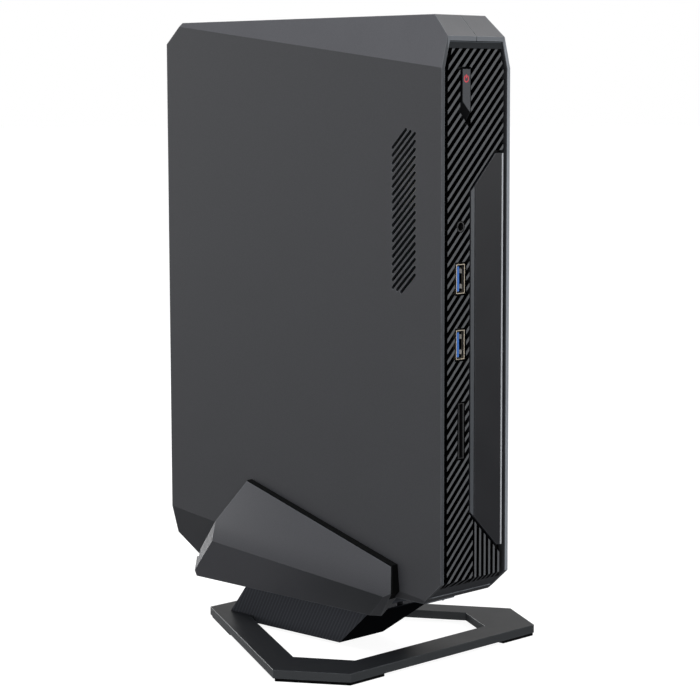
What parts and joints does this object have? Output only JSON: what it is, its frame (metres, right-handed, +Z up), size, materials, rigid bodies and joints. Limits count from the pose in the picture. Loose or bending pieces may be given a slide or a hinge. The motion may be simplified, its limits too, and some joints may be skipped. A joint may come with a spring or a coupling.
{
  "type": "mini pc",
  "caption": "Slim upright mini pc with chamfered half shells, a diagonal ribbed front with ports and a button, held in a winged cradle on an open ring base.",
  "frame": {"origin": "centre of the footprint, on the desk under the stand's rubber feet", "axes": "+Z up, -Y out of the front face with the ports, +X to the right for someone facing that front"},
  "size_m": [0.1632, 0.18, 0.2929],
  "materials": {
    "ring_grey": "fine powder coat",
    "neck_black": "finely ribbed",
    "wing_grey": "fine spark texture",
    "rubber_black": "matt",
    "screw_steel": "zinc plated",
    "shell_grey": "fine spark texture",
    "grille_black": "moulded",
    "filter_black": "woven mesh",
    "accent_dark": "satin",
    "strip_chrome": "polished",
    "port_steel": "tinned",
    "usb_blue": "moulded",
    "socket_black": "moulded",
    "button_grey": "satin",
    "icon_red": "translucent",
    "board_green": "solder mask",
    "chip_dark": "moulded packages",
    "copper": "bare copper",
    "fin_aluminium": "bare sheet",
    "fan_black": "moulded",
    "fan_cover_steel": "sheet",
    "ribbon_cream": "flat cable",
    "cell_steel": "plated",
    "brass": "turned"
  },
  "bodies": {
    "stand": {"base_ring": "ring_grey", "stand_neck": "neck_black", "left_wing": "wing_grey", "right_wing": "wing_grey", "left_liner": "rubber_black", "right_liner": "rubber_black", "seat_block": "neck_black", "seat_pads": "rubber_black", "stand_feet": "rubber_black", "cradle_screws": "screw_steel", "base_screws": "screw_steel"},
    "tower": {"left_shell": "shell_grey", "right_shell": "shell_grey", "front_grille": "grille_black", "dust_filter": "filter_black", "accent_panel": "accent_dark", "accent_strip": "strip_chrome", "front_usb_shells": "port_steel", "front_usb_tongues": "usb_blue", "audio_jack": "socket_black", "sd_reader": "socket_black", "front_io_board": "board_green", "power_switch": "socket_black", "ribbon_cable": "ribbon_cream", "rear_panel": "grille_black", "rear_usb_shells": "port_steel", "rear_usb_tongues": "usb_blue", "network_jack": "port_steel", "hdmi_socket": "port_steel", "display_socket": "port_steel", "usb_c_socket": "port_steel", "dc_jack": "socket_black", "motherboard": "board_green", "board_components": "chip_dark", "processor": "chip_dark", "graphics_chip": "chip_dark", "processor_cold_plate": "copper", "graphics_cold_plate": "copper", "upper_heat_pipe": "copper", "lower_heat_pipe": "copper", "shared_heat_pipe": "copper", "upper_fin_stack": "fin_aluminium", "lower_fin_stack": "fin_aluminium", "upper_fan_housing": "fan_black", "lower_fan_housing": "fan_black", "upper_fan_cover": "fan_cover_steel", "lower_fan_cover": "fan_cover_steel", "memory_sockets": "socket_black", "memory_modules": "board_green", "ssd_drive": "chip_dark", "wifi_card": "board_green", "coin_cell": "cell_steel", "chassis_tray": "fan_cover_steel", "standoffs": "brass", "board_screws": "screw_steel", "shell_screws": "screw_steel"},
    "power_button": {"power_button": "button_grey", "power_icon": "icon_red"},
    "upper_fan": {"upper_fan_rotor": "fan_black"},
    "lower_fan": {"lower_fan_rotor": "fan_black"}
  },
  "joints": [
    {"name": "tower_lift", "type": "slide", "parent": "stand", "child": "tower", "axis": [0, 0, 1], "range_m": [0, 0.06]},
    {"name": "button_press", "type": "slide", "parent": "tower", "child": "power_button", "axis": [0, 1, 0], "range_m": [0, 0.0006], "stiffness_N_per_m": 600, "springref_m": -0.001},
    {"name": "upper_fan_spin", "type": "hinge", "parent": "tower", "child": "upper_fan", "pos_m": [0.003, 0.02, 0.2209], "axis": [1, 0, 0], "continuous": true},
    {"name": "lower_fan_spin", "type": "hinge", "parent": "tower", "child": "lower_fan", "pos_m": [0.003, 0.02, 0.1029], "axis": [1, 0, 0], "continuous": true}
  ]
}
